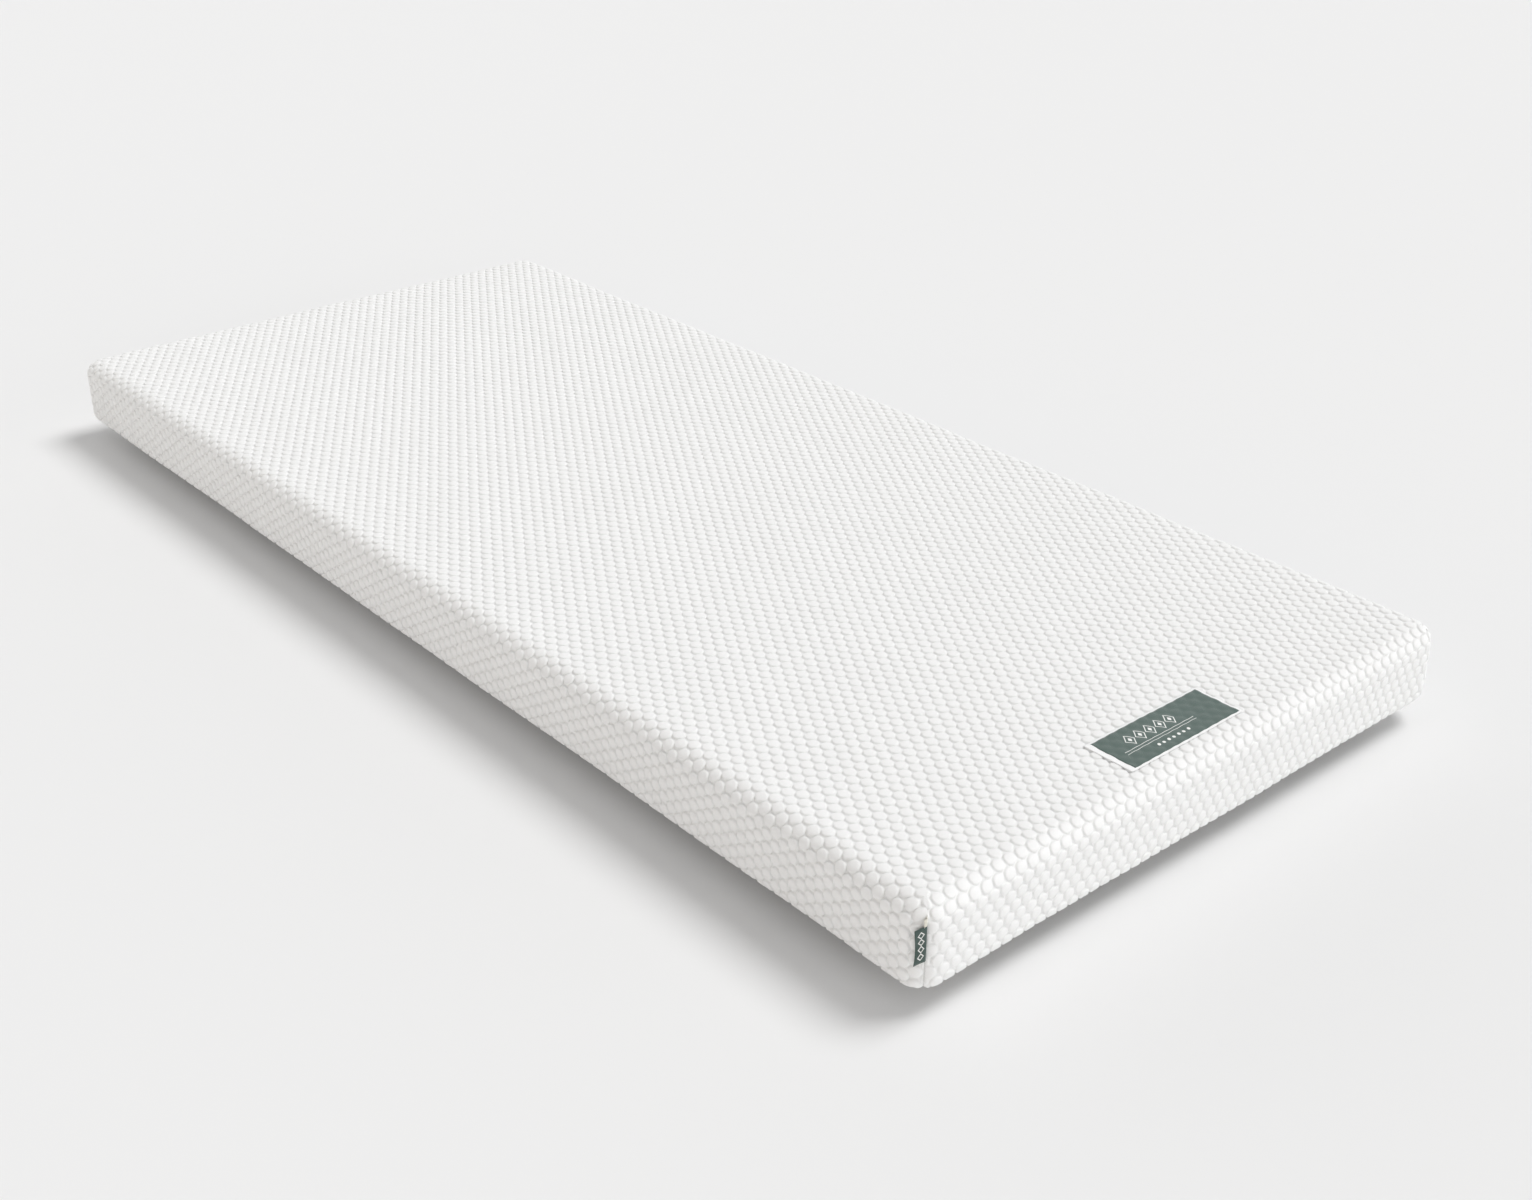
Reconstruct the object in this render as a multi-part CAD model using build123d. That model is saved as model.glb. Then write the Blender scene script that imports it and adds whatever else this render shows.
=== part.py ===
from build123d import *
import math
import os

# A thin single mattress: two foam layers in a stockinette sock, inside a knitted cover
# that is cut as one cross, sewn up at its four corners and onto a base panel, and opened
# by a zip along one long side. Millimetres. Origin: the middle of the underside.
# +Z is up, +Y runs to the head end, and the label and the side tab are at the foot end.

# Overall form
length = 2000.0
width = 900.0
height = 107.0
corner_radius = 30.0
top_edge_radius = 25.0
bottom_edge_radius = 18.0

# Cover and core
cover_thickness = 3.0
sock_thickness = 0.8
memory_foam_depth = 30.0
seam_width = 2.0
base_panel_inset = 24.0
base_panel_corner_radius = 9.0
seam_angle = 53.0
foam_bevel = 1.0
lining_bevel = 0.586

# Zip: two tapes, two rows of moulded teeth, stops at both ends
zip_height = 38.0
zip_end_margin = 34.0
tape_width = 13.0
tape_thickness = 0.6
tape_tail = 14.0
tooth_pitch = 6.0
tooth_depth = 2.8
tooth_root = 2.6
tooth_crossing = 1.1
tooth_gap = 0.16
stop_depth = 3.4
top_stop_length = 2.4
bottom_stop_length = 4.0

# Slider and pull
slider_length = 15.0
slider_plate = 1.1
slider_flange = 0.9
slider_shoulder = 1.5
slider_clearance = 0.3
slider_bevel = 0.3
window_clearance = 1.0
crown_width = 3.0
crown_post = 1.5
crown_roof = 1.0
pin_radius = 0.8
pull_length = 27.0
pull_width = 7.4
pull_thickness = 1.4
pull_arm = 1.7
grip_hole_width = 3.2
grip_hole_length = 9.0

# Woven label on the top, and folded tab in the near corner seam
label_width = 182.0
label_depth = 62.5
label_thickness = 0.6
label_border_side = 8.5
label_border = 3.0
label_from_foot = 66.3
label_off_centre = -5.0
tab_height = 42.0
tab_bottom = 43.0
tab_reach = 12.0
tab_leaf = 0.5
tab_fold_gap = 0.2
tab_bend_radius = 1.6
tab_lean = 8.0

# Sizes that follow from the ones above
chain_x = width / 2 - cover_thickness / 2
slider_inner_depth = tooth_depth / 2 + slider_clearance + slider_plate
side_slack = slider_inner_depth - cover_thickness / 2 + slider_clearance
channel_half = tooth_root + slider_clearance
slider_half = channel_half + slider_flange
shoulder_half = slider_half + slider_shoulder
window_half = shoulder_half + window_clearance
tape_length = length - 2 * (corner_radius + zip_end_margin)
window_length = tape_length - 2 * tape_tail
chain_start = -window_length / 2 + 2 * top_stop_length
chain_end = window_length / 2 - 2 * bottom_stop_length
teeth_per_row = int((chain_end - chain_start) / tooth_pitch)
bottom_stop_y = chain_start + teeth_per_row * tooth_pitch
slider_y = chain_start + slider_clearance + slider_length / 2
plate_top_x = chain_x + slider_inner_depth
pin_x = plate_top_x + slider_clearance + pin_radius
crown_top_x = pin_x + pin_radius + slider_clearance + crown_roof
crown_length = 2 * (pin_radius + slider_clearance + crown_post)
pull_window = math.hypot(crown_length / 2, crown_top_x - pin_x) + slider_clearance
BELOW = (Align.CENTER, Align.CENTER, Align.MIN)


def between(low, high):
    """A box between two opposite corners."""
    sizes = [b - a for a, b in zip(low, high)]
    middle = [(a + b) / 2 for a, b in zip(low, high)]
    return Pos(*middle) * Box(*sizes)


def soft_block(side_inset, level_inset, bevel=None):
    """The mattress's outer form, drawn in at its four sides and at its top and underside.
    Its level edges are rounded, or cut off straight at a share of the rounding's radius."""
    block = Pos(0, 0, level_inset) * Box(
        width - 2 * side_inset, length - 2 * side_inset, height - 2 * level_inset, align=BELOW
    )
    block = fillet(block.edges().filter_by(Axis.Z), corner_radius - side_inset)
    for end, radius in ((-1, top_edge_radius), (0, bottom_edge_radius)):
        edges = block.faces().sort_by(Axis.Z)[end].edges()
        radius -= side_inset
        block = chamfer(edges, bevel * radius) if bevel else fillet(edges, radius)
    return block


# Foam core and its sock

def make_core():
    """The two bonded foam layers: memory foam over the firmer base foam. The slabs are cut
    with bevelled edges, which the cover rounds off."""
    inset = cover_thickness + sock_thickness
    core = soft_block(inset + side_slack, inset, foam_bevel)
    joint = Plane.XY.offset(height - inset - memory_foam_depth)
    return split(core, joint, keep=Keep.TOP), split(core, joint, keep=Keep.BOTTOM)


def make_sock():
    """A closed knitted sleeve, tight round both foam layers."""
    outer = soft_block(cover_thickness + side_slack, cover_thickness, foam_bevel)
    inset = cover_thickness + sock_thickness
    return outer - soft_block(inset + side_slack, inset, foam_bevel)


# Cover: base panel, seams, and the one-piece top with its four sides

def base_outline(grow):
    """The base panel's rounded rectangle, grown by an amount all round, as a solid."""
    outline = RectangleRounded(
        width - 2 * (base_panel_inset - grow),
        length - 2 * (base_panel_inset - grow),
        base_panel_corner_radius + grow,
    )
    return extrude(outline, cover_thickness)


def seam_heading(side_x, side_y):
    """The level direction in which a corner's seam faces, as degrees from +X."""
    turn = math.radians(seam_angle)
    return math.degrees(math.atan2(side_y * math.sin(turn), side_x * math.cos(turn)))


def at_corner(side_x, side_y):
    """The place of a corner's upright axis, turned so that its +X faces out at the seam."""
    centre = Pos(side_x * (width / 2 - corner_radius), side_y * (length / 2 - corner_radius))
    return centre * Rot(0, 0, seam_heading(side_x, side_y))


def seam_line(inset):
    """The edge of the cover in the seam's upright plane, from the base, up the corner and
    over onto the top, drawn in by an amount."""
    reach = corner_radius - inset
    return FilletPolyline(
        (-2 * base_panel_inset, inset),
        (reach, inset),
        (reach, height - inset),
        (corner_radius - top_edge_radius - seam_width, height - inset),
        radius=(bottom_edge_radius - inset, top_edge_radius - inset),
    )


def seam_strip(growth):
    """The sewn-in strip of a corner seam, as thick as the cover, or its slot when it grows."""
    outer, inner = seam_line(-growth), seam_line(cover_thickness + growth)
    ends = [Line(outer @ end, inner @ end) for end in (0, 1)]
    face = make_face([outer, inner, *ends])
    return extrude(Plane.XZ * face, seam_width / 2, both=True)


def make_tab():
    """A woven tape folded double: its two ends are sewn in the corner seam, and it leans
    round the corner along the long side."""
    middle = Vector(-width / 2 + corner_radius, -length / 2 + corner_radius)
    outward = Vector(1, 0).rotate(Axis.Z, seam_heading(-1, -1))
    along = outward.rotate(Axis.Z, tab_lean - 90)
    root = middle + outward * (corner_radius - cover_thickness)
    bend = middle + outward * (corner_radius + tab_bend_radius)
    path = FilletPolyline(root, bend, bend + along * tab_reach, radius=tab_bend_radius)
    fold = FilletPolyline(
        root, bend, bend + along * (tab_reach - tab_leaf), radius=tab_bend_radius
    )
    tape = trace(path, 2 * tab_leaf + tab_fold_gap) - trace(fold, tab_fold_gap)
    return Pos(0, 0, tab_bottom) * extrude(tape, tab_height)


def zip_window():
    """The slit in the side wall between the folded edges, with the slots for both tapes."""
    slit = between(
        (width / 2 - 2 * cover_thickness, -window_length / 2, zip_height - window_half),
        (width / 2 + cover_thickness, window_length / 2, zip_height + window_half),
    )
    reach = tooth_root + tape_width
    tapes = between(
        (chain_x - tape_thickness / 2, -tape_length / 2, zip_height - reach),
        (chain_x + tape_thickness / 2, tape_length / 2, zip_height + reach),
    )
    return slit + tapes


def make_cover():
    """The cover cap, its four corner seams, the seam round the base and the base panel.
    The cap is round outside, and inside its edges are plain bevels that touch the rounding."""
    shell = soft_block(0, 0) - soft_block(cover_thickness, cover_thickness, lining_bevel)
    panel = base_outline(0)
    opening = base_outline(seam_width)
    cap = shell - opening - zip_window()
    tab = make_tab()
    seams = {}
    for end, side_y in (("foot", -1), ("head", 1)):
        for side, side_x in (("left", -1), ("right", 1)):
            place = at_corner(side_x, side_y)
            seams[f"corner_seam_{end}_{side}"] = place * seam_strip(0) - opening - tab
            cap -= place * seam_strip(seam_width / 2)
    return {
        "cover_cap": cap,
        "cover_base_panel": panel,
        "base_seam": opening - panel,
        "side_tab": tab,
        **seams,
    }


# Zip

def make_tape(side):
    """One woven zip tape. Its inner edge carries a row of teeth."""
    inner, outer = tooth_root, tooth_root + tape_width
    low, high = sorted((zip_height + side * inner, zip_height + side * outer))
    return between(
        (chain_x - tape_thickness / 2, -tape_length / 2, low),
        (chain_x + tape_thickness / 2, tape_length / 2, high),
    )


def make_teeth(side):
    """One row of teeth, each a ridged bar that crosses the middle of the chain. The lower
    row is half a pitch along, so that the rows mesh."""
    step = tooth_pitch / 2
    ridge = make_face(Polyline(
        (-tooth_depth / 2, tooth_gap / 2),
        (tooth_depth / 2, step / 2),
        (-tooth_depth / 2, step - tooth_gap / 2),
        close=True,
    ))
    tooth = extrude(ridge, tooth_root + tooth_crossing)
    low = min(-side * tooth_crossing, side * tooth_root)
    first = chain_start + (0 if side > 0 else step)
    return Compound([
        Pos(chain_x, first + i * tooth_pitch, zip_height + low) * tooth
        for i in range(teeth_per_row)
    ])


def make_top_stops():
    """Two clamped stops, one on each tape, where the closed slider comes to rest."""
    stops = []
    for side in (-1, 1):
        low, high = sorted((zip_height + side * slider_clearance, zip_height + side * tooth_root))
        stops.append(between(
            (chain_x - stop_depth / 2, chain_start - top_stop_length, low),
            (chain_x + stop_depth / 2, chain_start, high),
        ))
    return Compound(stops)


def make_bottom_stop():
    """One block across both tapes, where the chain of teeth ends."""
    block = between(
        (chain_x - stop_depth / 2, bottom_stop_y, zip_height - tooth_root),
        (chain_x + stop_depth / 2, bottom_stop_y + bottom_stop_length, zip_height + tooth_root),
    )
    return chamfer(block.faces().sort_by(Axis.X)[-1].edges(), slider_bevel)


def slider_wing():
    """Half of the slider: a shield-shaped plate and the flanges that hold the chain in.
    It lies on the YZ plane, with its flanges' feet at zero and the plate outwards."""
    half = slider_length / 2
    outline = Polyline(
        (-half, -slider_half), (-half / 2, -shoulder_half), (half, -slider_half),
        (half, slider_half), (-half / 2, shoulder_half), (-half, slider_half),
        close=True,
    )
    shield = make_face(outline)
    shield = chamfer(shield.vertices(), slider_flange)
    flare = shoulder_half - slider_flange
    channel = make_face(Polyline(
        (-half - 1, -flare), (0, -channel_half), (half + 1, -channel_half),
        (half + 1, channel_half), (0, channel_half), (-half - 1, flare),
        close=True,
    ))
    foot = tape_thickness / 2 + slider_clearance
    wing = extrude(Plane.YZ.offset(foot) * shield, slider_inner_depth - foot)
    wing -= extrude(Plane.YZ * channel, slider_inner_depth - slider_plate)
    return chamfer(wing.faces().sort_by(Axis.X)[-1].edges(), slider_bevel)


def make_slider():
    """The front wing with its crown, and the back wing behind the chain."""
    place = Pos(chain_x, slider_y, zip_height)
    wing = slider_wing()
    crown = between(
        (slider_inner_depth, -crown_length / 2, -crown_width / 2),
        (crown_top_x - chain_x, crown_length / 2, crown_width / 2),
    )
    crown = chamfer(crown.faces().sort_by(Axis.X)[-1].edges(), slider_bevel)
    eye = Pos(pin_x - chain_x, 0, 0) * Cylinder(pin_radius + slider_clearance, 2 * crown_width)
    front = wing + (crown - eye)
    return Compound([place * front, place * mirror(wing, Plane.YZ)])


def make_pull():
    """The pull tab: two arms either side of the crown, a pin through its eye, and a grip."""
    arms_half = crown_width / 2 + slider_clearance + pull_arm
    arms = Pos(pull_window / 2, 0) * Rectangle(pull_window + 2 * pin_radius, 2 * arms_half)
    grip_length = pull_length - pull_window
    grip = Pos(pull_window + grip_length / 2, 0) * Rectangle(grip_length, pull_width)
    gap = Pos((pull_window - pull_length) / 2, 0) * Rectangle(
        pull_window + pull_length, crown_width + 2 * slider_clearance
    )
    hole = Pos(pull_length - grip_hole_length / 2 - pull_arm, 0) * RectangleRounded(
        grip_hole_length, grip_hole_width, grip_hole_width / 3
    )
    outline = arms - gap + grip
    outline = fillet(outline.vertices().group_by(Axis.X)[-1], pull_width / 3)
    plate = extrude(Plane.YZ * (outline - hole), pull_thickness / 2, both=True)
    pin = Cylinder(pin_radius, 2 * arms_half)
    return Pos(pin_x, slider_y, zip_height) * (plate + pin)


# Label

def make_label():
    """The woven label on the foot end of the top, and the white border sewn round it."""
    place = Pos(label_off_centre, -length / 2 + label_from_foot, height)
    label = place * Box(label_width, label_depth, label_thickness, align=BELOW)
    outer = place * Pos((label_border - label_border_side) / 2, 0) * Box(
        label_width + label_border + label_border_side,
        label_depth + 2 * label_border,
        label_thickness,
        align=BELOW,
    )
    return label, outer - label


memory_foam, base_foam = make_core()
label, border = make_label()
nodes = {
    "memory_foam_layer": memory_foam,
    "base_foam_layer": base_foam,
    "inner_sock": make_sock(),
    **make_cover(),
    "zip_tape_upper": make_tape(1),
    "zip_tape_lower": make_tape(-1),
    "zip_teeth_upper": make_teeth(1),
    "zip_teeth_lower": make_teeth(-1),
    "zip_top_stops": make_top_stops(),
    "zip_bottom_stop": make_bottom_stop(),
    "zip_slider": make_slider(),
    "zip_pull": make_pull(),
    "top_label": label,
    "top_label_border": border,
}

os.makedirs("parts", exist_ok=True)
for name, shape in nodes.items():
    export_step(shape, f"parts/{name}.step")

travel = bottom_stop_y - chain_start - slider_length - 2 * slider_clearance
print("slider travel", round(travel, 3), "teeth per row", teeth_per_row)
print("pull axis", round(pin_x, 3), round(slider_y, 3), zip_height)
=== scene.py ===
# %% [markdown]
# A thin single mattress in a white bubble-knit cover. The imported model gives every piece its
# place: two foam layers in a sock, the zipped cover, its seams, a woven label and a side tab.
# This script keeps that frame and dresses it piece by piece, in metres.

import math

import bpy
import numpy as np
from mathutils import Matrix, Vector


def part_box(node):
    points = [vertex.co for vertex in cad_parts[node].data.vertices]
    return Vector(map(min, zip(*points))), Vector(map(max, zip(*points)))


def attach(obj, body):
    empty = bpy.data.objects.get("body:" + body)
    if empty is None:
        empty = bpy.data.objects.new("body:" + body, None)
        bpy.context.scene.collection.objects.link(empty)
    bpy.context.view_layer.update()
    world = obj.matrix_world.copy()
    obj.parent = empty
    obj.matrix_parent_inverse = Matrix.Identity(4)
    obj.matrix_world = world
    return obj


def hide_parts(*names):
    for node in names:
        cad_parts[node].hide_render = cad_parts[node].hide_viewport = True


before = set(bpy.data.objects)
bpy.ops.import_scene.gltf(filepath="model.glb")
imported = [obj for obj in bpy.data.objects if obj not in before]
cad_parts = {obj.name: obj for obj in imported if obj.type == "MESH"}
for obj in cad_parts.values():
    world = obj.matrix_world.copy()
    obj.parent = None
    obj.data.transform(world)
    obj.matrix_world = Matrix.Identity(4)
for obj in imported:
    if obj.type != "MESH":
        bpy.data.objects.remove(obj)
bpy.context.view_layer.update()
MM = 0.001
TURN = 2 * math.pi

# %% [markdown]
# The camera comes first, because it decides how fine each surface has to be. It stands low
# beside the foot end and looks along the mattress, a little down.

# %% Camera
CAMERA_PLACE = (-1.48860, -1.98418, 1.18478)
CAMERA_DOWN, CAMERA_HEADING = 27.50861, 40.54497
CAMERA_LENS, CAMERA_SENSOR = 43.573, 36

bpy.ops.object.camera_add(
    location=CAMERA_PLACE,
    rotation=(math.radians(90 - CAMERA_DOWN), 0, math.radians(-CAMERA_HEADING)),
)
camera = bpy.context.object
camera.name = "camera"
camera.data.lens = CAMERA_LENS
camera.data.sensor_width = CAMERA_SENSOR
bpy.context.scene.camera = camera
print("camera lens", CAMERA_LENS, "mm")

# %% [markdown]
# Every finish below is built from nodes. Written as sums and products they stay readable, so
# one small class wraps a node's output: an expression on it adds the Math nodes.

# %% Shader expressions
class Wire:
    """A node's output, whose sums and products are Math nodes."""

    def __init__(self, tree, end):
        self.tree, self.end = tree, end

    def node(self, kind, sockets=(), out=0, **settings):
        """Any other node: its settings are set first, then its sockets' values or links."""
        made = self.tree.nodes.new("ShaderNode" + kind)
        for name, value in settings.items():
            setattr(made, name, value)
        pairs = sockets.items() if isinstance(sockets, dict) else enumerate(sockets)
        for socket, value in pairs:
            if isinstance(value, Wire):
                self.tree.links.new(value.end, made.inputs[socket])
            else:
                made.inputs[socket].default_value = value
        return Wire(self.tree, made.outputs[out])

    def math(self, operation, *values):
        """A Math node of any operation, with this wire as its first value."""
        return self.node("Math", [self, *values], operation=operation)

    def __add__(self, other):
        return self.math("ADD", other)

    def __mul__(self, other):
        return self.math("MULTIPLY", other)

    def __sub__(self, other):
        return self.math("SUBTRACT", other)

    def __truediv__(self, other):
        return self.math("DIVIDE", other)

    def __rsub__(self, other):
        return self.node("Math", [other, self], operation="SUBTRACT")

    __radd__ = __add__

    def split(self):
        """The three parts of a vector, from one node."""
        whole = self.node("SeparateXYZ", [self]).end.node
        return [Wire(self.tree, part) for part in whole.outputs]

    def smooth(self, low, high):
        """0 below low, 1 above high, and a soft step between them."""
        return self.node("MapRange", [self, low, high], interpolation_type="SMOOTHSTEP")

    def wave(self, pitch):
        """A wave between 0 and 1 that repeats at a pitch."""
        return (self * (TURN / pitch)).math("SINE") * 0.5 + 0.5

    def blend(self, dark, light):
        """A colour between two others, by this wire."""
        ends = [c if isinstance(c, Wire) else (*c, 1) for c in (dark, light)]
        return self.node("Mix", {0: self, 6: ends[0], 7: ends[1]}, out=2, data_type="RGBA")


class Finish:
    """A material being made: its shader, and the coordinates that its patterns read."""

    def __init__(self, name, **plain):
        self.material = bpy.data.materials.new(name)
        self.material.use_nodes = True
        self.tree = self.material.node_tree
        self.shader = self.tree.nodes["Principled BSDF"]
        self.any = Wire(self.tree, None)
        for label, value in plain.items():
            self.socket(label).default_value = value

    def socket(self, label):
        """A socket of the shader, such as Specular IOR Level for specular_ior_level."""
        return self.shader.inputs[label.replace("_", " ").title().replace("Ior", "IOR")]

    def object_place(self):
        """The Object coordinates."""
        return self.any.node("TexCoord", out=3)

    def cloth_axes(self):
        """The piece's own UV map, in metres of cloth, whole and as two wires."""
        place = self.any.node("TexCoord", out=2)
        return (place, *place.split()[:2])

    def grain(self, place, scale, detail=2.0, roughness=0.5):
        """Fine noise between 0 and 1."""
        fed = {"Vector": place, "Scale": scale, "Detail": detail, "Roughness": roughness}
        return self.any.node("TexNoise", fed)

    def set(self, relief, depth, **fed):
        """Feeds the shader's sockets, and bumps it by a relief of a depth in metres."""
        fed["normal"] = self.any.node("Bump", {"Distance": depth, "Height": relief})
        for label, wire in fed.items():
            self.tree.links.new(wire.end, self.socket(label))
        return self.material


print("shader expressions ready")

# %% [markdown]
# The light is a soft studio: one wide lamp high on the right, and a pale room whose walls are
# brighter than its ceiling, most of all beyond the two ends of the mattress. The low light
# from the walls and the floor is what shows the relief on the shaded side, and it is a little
# warm there. The wall behind the lamp is the dimmest and a little cool, so that the lit side
# isn't washed out. The floor is plain and pale, and keeps the mattress's shadow. Past its edge
# the camera sees a plain backdrop as pale.

# %% Light, room and floor
KEY_STRENGTH = 1.78
KEY_ANGLE = 28
KEY_FROM = Vector((0.48, -0.17, 0.86))
LEFT_LIGHT, RIGHT_LIGHT, END_LIGHT, CEILING_LIGHT = 0.70, 0.46, 2.30, 0.40
LEFT_TINT, RIGHT_TINT = (1.18, 0.975, 0.77), (0.94, 1.00, 1.10)
CEILING_FROM = 0.62
FLOOR_COLOUR = (0.835, 0.835, 0.835)
FLOOR_LEVEL = -0.026
FLOOR_SIZE = 60
BACKDROP_COLOUR = (0.86, 0.86, 0.86)

bpy.ops.object.light_add(type="SUN")
key = bpy.context.object
key.name = "key_lamp"
key.rotation_euler = KEY_FROM.to_track_quat("Z", "Y").to_euler()
key.data.energy = KEY_STRENGTH
key.data.angle = math.radians(KEY_ANGLE)

world = bpy.data.worlds.new("room")
bpy.context.scene.world = world
world.use_nodes = True
room = Wire(world.node_tree, None)
across, along, upward = room.node("TexCoord", out=0).split()
left_light = [LEFT_LIGHT * c for c in LEFT_TINT]
right_light = [RIGHT_LIGHT * c for c in RIGHT_TINT]
walls = across.smooth(-0.5, 0.5).blend(left_light, right_light)
walls = along.math("ABSOLUTE").smooth(0.2, 0.9).blend(walls, (END_LIGHT,) * 3)
room_light = upward.smooth(0.0, CEILING_FROM).blend(walls, (CEILING_LIGHT,) * 3)
seen = room.node("LightPath", out="Is Camera Ray")
for ray in ("Is Glossy Ray", "Is Transmission Ray"):
    seen = seen.math("MAXIMUM", room.node("LightPath", out=ray))
room_light = seen.blend(room_light, BACKDROP_COLOUR)
world.node_tree.links.new(
    room_light.end, world.node_tree.nodes["Background"].inputs["Color"]
)

floor_paint = Finish(
    "floor_paint", base_color=(*FLOOR_COLOUR, 1), roughness=0.9, specular_ior_level=0.2
)
bpy.ops.mesh.primitive_plane_add(size=FLOOR_SIZE, location=(0, 0, FLOOR_LEVEL))
floor = bpy.context.object
floor.name = "floor"
floor.data.materials.append(floor_paint.material)
bpy.context.scene.view_settings.view_transform = "Standard"
print("stage ready")

# %% [markdown]
# The cover is a double-faced knit. Its loops are drawn in along a honeycomb of lines, and the
# cloth puffs up between them in round bubbles, a good 16 mm apart. They are modelled as real
# relief: one cell of the honeycomb is laid out in rings, with a steep rim round a flat crown,
# and the cells tile the cloth's flat cut.

# %% The knit's bubbles
BUBBLE_PITCH = 16.86 * MM
ROW_PITCH = 13.595 * MM
FIRST_BUBBLE = (-0.4428, -0.9473)
BUBBLE_RINGS = [0.0, 5.5 * MM, 6.9 * MM, 7.75 * MM, 9.5 * MM]
RING_HEIGHTS = [2.15 * MM, 2.09 * MM, 1.62 * MM, 0.15 * MM, 0.0]
RING_POINTS = [1, 6, 12, 12, 12]
BUBBLE_RISE = RING_HEIGHTS[0]
COVER_LIFT = 0.6 * MM


def from_bubble(u, v):
    """Distance from each point of the flat cloth to the middle of its bubble."""
    away = []
    for shift in (0, 0.5):
        across = (u - FIRST_BUBBLE[0]) / BUBBLE_PITCH - shift
        along = (v - FIRST_BUBBLE[1]) / (2 * ROW_PITCH) - shift
        across = (across - np.round(across)) * BUBBLE_PITCH
        along = (along - np.round(along)) * 2 * ROW_PITCH
        away.append(np.hypot(across, along))
    return np.minimum(*away)


def bubble_cell():
    """Points and triangles of one honeycomb cell, in rings round its middle."""
    notch = (ROW_PITCH ** 2 - (BUBBLE_PITCH / 2) ** 2) / (2 * ROW_PITCH)
    rim = [
        (BUBBLE_PITCH / 2, 0), (BUBBLE_PITCH / 2, notch), (BUBBLE_PITCH / 4, ROW_PITCH / 2),
        (0, ROW_PITCH - notch), (-BUBBLE_PITCH / 4, ROW_PITCH / 2), (-BUBBLE_PITCH / 2, notch),
    ]
    rim = np.array(rim + [(-x, -y) for x, y in rim])
    spokes = rim / np.linalg.norm(rim, axis=1)[:, None]
    rings = [np.zeros((1, 2)), spokes[::2] * BUBBLE_RINGS[1]]
    rings += [spokes * radius for radius in BUBBLE_RINGS[2:4]] + [rim]
    few, many = RING_POINTS[1:3]
    second = 1 + few
    corners = []
    for k in range(few):
        inner, beyond = 1 + k, 1 + (k + 1) % few
        outer = [second + (2 * k + step) % many for step in range(3)]
        corners += [(0, inner, beyond), (inner, outer[0], outer[1]),
                    (inner, outer[1], beyond), (beyond, outer[1], outer[2])]
    for start in (second, second + many):
        for k in range(many):
            a, b = start + k, start + (k + 1) % many
            corners += [(a, a + many, b + many), (a, b + many, b)]
    return np.concatenate(rings), np.array(corners)


print("bubble pitch", BUBBLE_PITCH / MM, "x", ROW_PITCH / MM, "mm")

# %% [markdown]
# The cover's top and sides are one cross-shaped piece of knit. It is wrapped over the foam:
# flat on top, round each edge, down the side and under the lower edge, where it is sewn to
# the base panel. At each corner the two sides meet in an upright seam, and the cloth between
# them is cut away.

# %% The cover's form
LENGTH, WIDTH, HEIGHT = 2.0, 0.9, 0.107
CORNER_RADIUS = 30 * MM
TOP_RADIUS = 25 * MM
BOTTOM_RADIUS = 18 * MM
BASE_INSET = 22 * MM
SEAM_TURN = math.radians(53)
AXIS_X = WIDTH / 2 - CORNER_RADIUS
AXIS_Y = LENGTH / 2 - CORNER_RADIUS
TOP_RUN = CORNER_RADIUS - TOP_RADIUS
TOP_BEND = TOP_RADIUS * math.pi / 2
WALL_RUN = HEIGHT - TOP_RADIUS - BOTTOM_RADIUS
BOTTOM_BEND = BOTTOM_RADIUS * math.pi / 2
BASE_RUN = BASE_INSET - BOTTOM_RADIUS
WALL_START = TOP_RUN + TOP_BEND
WALL_END = WALL_START + WALL_RUN
FLAP = WALL_END + BOTTOM_BEND + BASE_RUN


def edge_profile(down):
    """Reach from the corner's axis, height and normal, at a run of cloth over the edge."""
    over = np.clip((down - TOP_RUN) / TOP_RADIUS, 0, math.pi / 2)
    under = np.clip((down - WALL_END) / BOTTOM_RADIUS, 0, math.pi / 2)
    reach = (
        np.minimum(down, TOP_RUN) + TOP_RADIUS * np.sin(over)
        - BOTTOM_RADIUS * (1 - np.cos(under))
        - np.maximum(down - WALL_END - BOTTOM_BEND, 0)
    )
    height = (
        HEIGHT - TOP_RADIUS * (1 - np.cos(over))
        - np.clip(down - WALL_START, 0, WALL_RUN) - BOTTOM_RADIUS * np.sin(under)
    )
    return reach, height, np.sin(over) * np.cos(under), np.cos(over) - np.sin(under)


def wrap(u, v):
    """Points, outward normals, distances from the corner seam and runs of cloth over the
    edge, for points of the flat cloth."""
    side, end = np.sign(u), np.sign(v)
    across = np.maximum(np.abs(u) - AXIS_X, 0)
    along = np.maximum(np.abs(v) - AXIS_Y, 0)
    long_side = across >= along
    down = np.where(long_side, across, along)
    round_it = np.where(long_side, along, across)
    reach, height, n_out, n_up = edge_profile(down)
    most = np.where(long_side, SEAM_TURN, math.pi / 2 - SEAM_TURN)
    turn = np.minimum(round_it / np.maximum(reach, 1e-9), most)
    turn = np.where(reach < 1e-6, np.where(round_it > 0, most, 0), turn)
    flat_gap = np.where(long_side, AXIS_Y - np.abs(v), AXIS_X - np.abs(u))
    from_seam = reach * (most - turn) + np.maximum(flat_gap, 0)
    from_seam = np.where(down > 0, from_seam, 1.0)
    angle = np.where(long_side, turn, math.pi / 2 - turn)
    x = side * (np.minimum(np.abs(u), AXIS_X) + reach * np.cos(angle))
    y = end * (np.minimum(np.abs(v), AXIS_Y) + reach * np.sin(angle))
    normals = np.stack([side * n_out * np.cos(angle), end * n_out * np.sin(angle), n_up], -1)
    return np.stack([x, y, height], -1), normals, from_seam, down


print("cloth runs", round(FLAP / MM, 1), "mm over each edge")

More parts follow.
